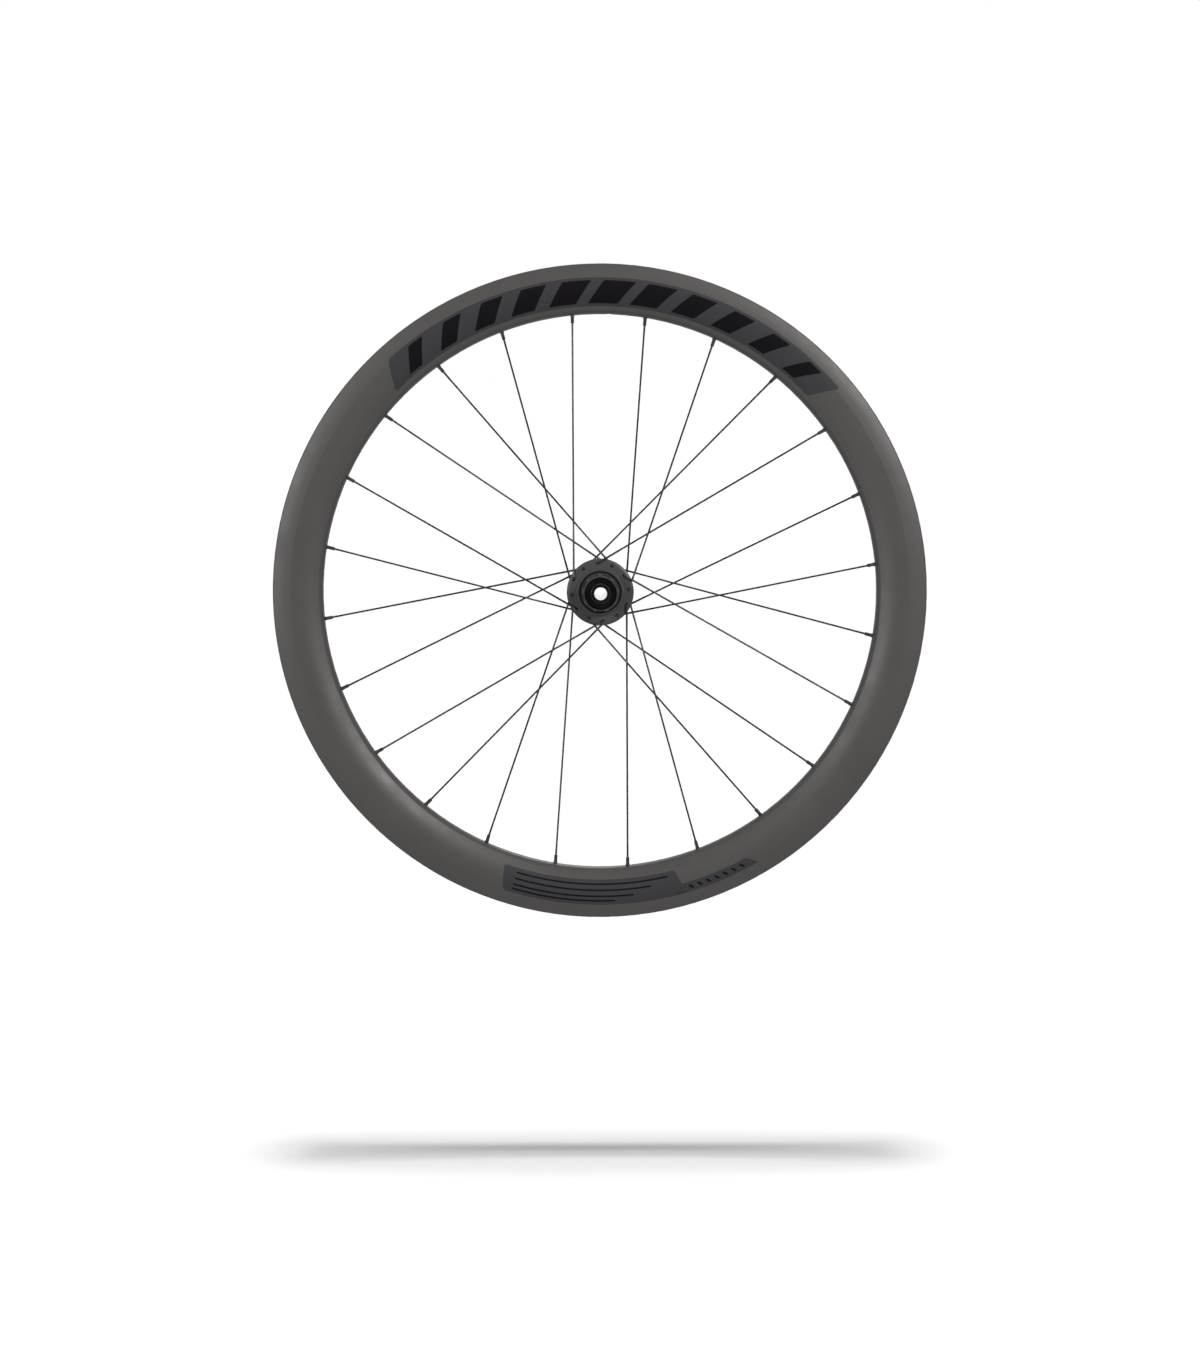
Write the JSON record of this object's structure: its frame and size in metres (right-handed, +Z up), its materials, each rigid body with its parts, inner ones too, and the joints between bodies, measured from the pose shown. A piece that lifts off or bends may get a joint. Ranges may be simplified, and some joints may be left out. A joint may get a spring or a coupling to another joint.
{
  "type": "bicycle wheel",
  "caption": "Deep-section spoked rear bicycle wheel with a disc-brake hub, cassette freehub on a pawl ratchet, and a thru-axle bore.",
  "frame": {"origin": "centre of the wheel, on the axle, in the rim's centre plane and midway between the end-cap faces", "axes": "+Y along the axle towards the disc-rotor side, so the drive side faces -Y; +X forward, +Z up"},
  "size_m": [0.634, 0.142, 0.634],
  "materials": {
    "rim_satin": "satin dark grey lacquer over moulded carbon fibre",
    "spoke_black": "black oxide on drawn stainless steel",
    "nipple_black": "black anodised",
    "hub_anodised": "dark grey matte anodised",
    "freehub_anodised": "black anodised",
    "cap_anodised": "black anodised",
    "bearing_steel": "ground steel",
    "cage_plastic": "moulded",
    "seal_rubber": "black rubber",
    "axle_aluminium": "turned"
  },
  "bodies": {
    "axle": {"axle": "axle_aluminium", "drive_end_cap": "cap_anodised", "disc_end_cap": "cap_anodised", "hub_spacer": "axle_aluminium", "freehub_spacer": "axle_aluminium", "end_cap_o_rings": "seal_rubber", "drive_bearing_inner_race": "bearing_steel", "disc_bearing_inner_race": "bearing_steel", "freehub_inner_bearing_inner_race": "bearing_steel", "freehub_outer_bearing_inner_race": "bearing_steel"},
    "wheel": {"rim": "rim_satin", "nipples": "nipple_black", "hub_shell": "hub_anodised", "ratchet_ring": "bearing_steel", "freehub_seal": "seal_rubber", "spoke_disc_inner_1": "spoke_black", "spoke_disc_inner_2": "spoke_black", "spoke_disc_inner_3": "spoke_black", "spoke_disc_inner_4": "spoke_black", "spoke_disc_inner_5": "spoke_black", "spoke_disc_inner_6": "spoke_black", "spoke_disc_outer_1": "spoke_black", "spoke_disc_outer_2": "spoke_black", "spoke_disc_outer_3": "spoke_black", "spoke_disc_outer_4": "spoke_black", "spoke_disc_outer_5": "spoke_black", "spoke_disc_outer_6": "spoke_black", "spoke_drive_inner_1": "spoke_black", "spoke_drive_inner_2": "spoke_black", "spoke_drive_inner_3": "spoke_black", "spoke_drive_inner_4": "spoke_black", "spoke_drive_inner_5": "spoke_black", "spoke_drive_inner_6": "spoke_black", "spoke_drive_outer_1": "spoke_black", "spoke_drive_outer_2": "spoke_black", "spoke_drive_outer_3": "spoke_black", "spoke_drive_outer_4": "spoke_black", "spoke_drive_outer_5": "spoke_black", "spoke_drive_outer_6": "spoke_black", "drive_bearing_outer_race": "bearing_steel", "drive_bearing_seals": "seal_rubber", "disc_bearing_outer_race": "bearing_steel", "disc_bearing_seals": "seal_rubber"},
    "freehub": {"freehub_body": "freehub_anodised", "pawl_spring": "bearing_steel", "freehub_inner_bearing_outer_race": "bearing_steel", "freehub_inner_bearing_seals": "seal_rubber", "freehub_outer_bearing_outer_race": "bearing_steel", "freehub_outer_bearing_seals": "seal_rubber"},
    "pawl_1": {"pawl_1": "bearing_steel"},
    "pawl_2": {"pawl_2": "bearing_steel"},
    "pawl_3": {"pawl_3": "bearing_steel"},
    "drive_bearing_ball_set": {"drive_bearing_balls": "bearing_steel", "drive_bearing_cage": "cage_plastic"},
    "disc_bearing_ball_set": {"disc_bearing_balls": "bearing_steel", "disc_bearing_cage": "cage_plastic"},
    "freehub_inner_bearing_ball_set": {"freehub_inner_bearing_balls": "bearing_steel", "freehub_inner_bearing_cage": "cage_plastic"},
    "freehub_outer_bearing_ball_set": {"freehub_outer_bearing_balls": "bearing_steel", "freehub_outer_bearing_cage": "cage_plastic"}
  },
  "joints": [
    {"name": "wheel_spin", "type": "hinge", "parent": "axle", "child": "wheel", "pos_m": [0, 0, 0], "axis": [0, 1, 0], "continuous": true},
    {"name": "freehub_spin", "type": "hinge", "parent": "wheel", "child": "freehub", "pos_m": [0, -0.04, 0], "axis": [0, 1, 0], "continuous": true},
    {"name": "pawl_1_fold", "type": "hinge", "parent": "freehub", "child": "pawl_1", "pos_m": [0.01023, 0, 0.00664], "axis": [0, 1, 0], "range_deg": [0, 12], "stiffness_Nm_per_rad": 0.02, "springref_deg": -11.46},
    {"name": "pawl_2_fold", "type": "hinge", "parent": "freehub", "child": "pawl_2", "pos_m": [-0.01087, 0, 0.00554], "axis": [0, 1, 0], "range_deg": [0, 12], "stiffness_Nm_per_rad": 0.02, "springref_deg": -11.46},
    {"name": "pawl_3_fold", "type": "hinge", "parent": "freehub", "child": "pawl_3", "pos_m": [0.00064, 0, -0.01218], "axis": [0, 1, 0], "range_deg": [0, 12], "stiffness_Nm_per_rad": 0.02, "springref_deg": -11.46},
    {"name": "drive_bearing_orbit", "type": "hinge", "parent": "axle", "child": "drive_bearing_ball_set", "pos_m": [0, -0.0093, 0], "axis": [0, 1, 0], "continuous": true},
    {"name": "disc_bearing_orbit", "type": "hinge", "parent": "axle", "child": "disc_bearing_ball_set", "pos_m": [0, 0.0475, 0], "axis": [0, 1, 0], "continuous": true},
    {"name": "freehub_inner_bearing_orbit", "type": "hinge", "parent": "axle", "child": "freehub_inner_bearing_ball_set", "pos_m": [0, -0.0265, 0], "axis": [0, 1, 0], "continuous": true},
    {"name": "freehub_outer_bearing_orbit", "type": "hinge", "parent": "axle", "child": "freehub_outer_bearing_ball_set", "pos_m": [0, -0.0555, 0], "axis": [0, 1, 0], "continuous": true}
  ],
  "couplings": [
    {"joint": "drive_bearing_orbit", "follows": "wheel_spin", "ratio": 0.59302},
    {"joint": "disc_bearing_orbit", "follows": "wheel_spin", "ratio": 0.59302},
    {"joint": "freehub_inner_bearing_orbit", "follows": "wheel_spin", "ratio": 0.56154},
    {"joint": "freehub_outer_bearing_orbit", "follows": "wheel_spin", "ratio": 0.56154}
  ]
}
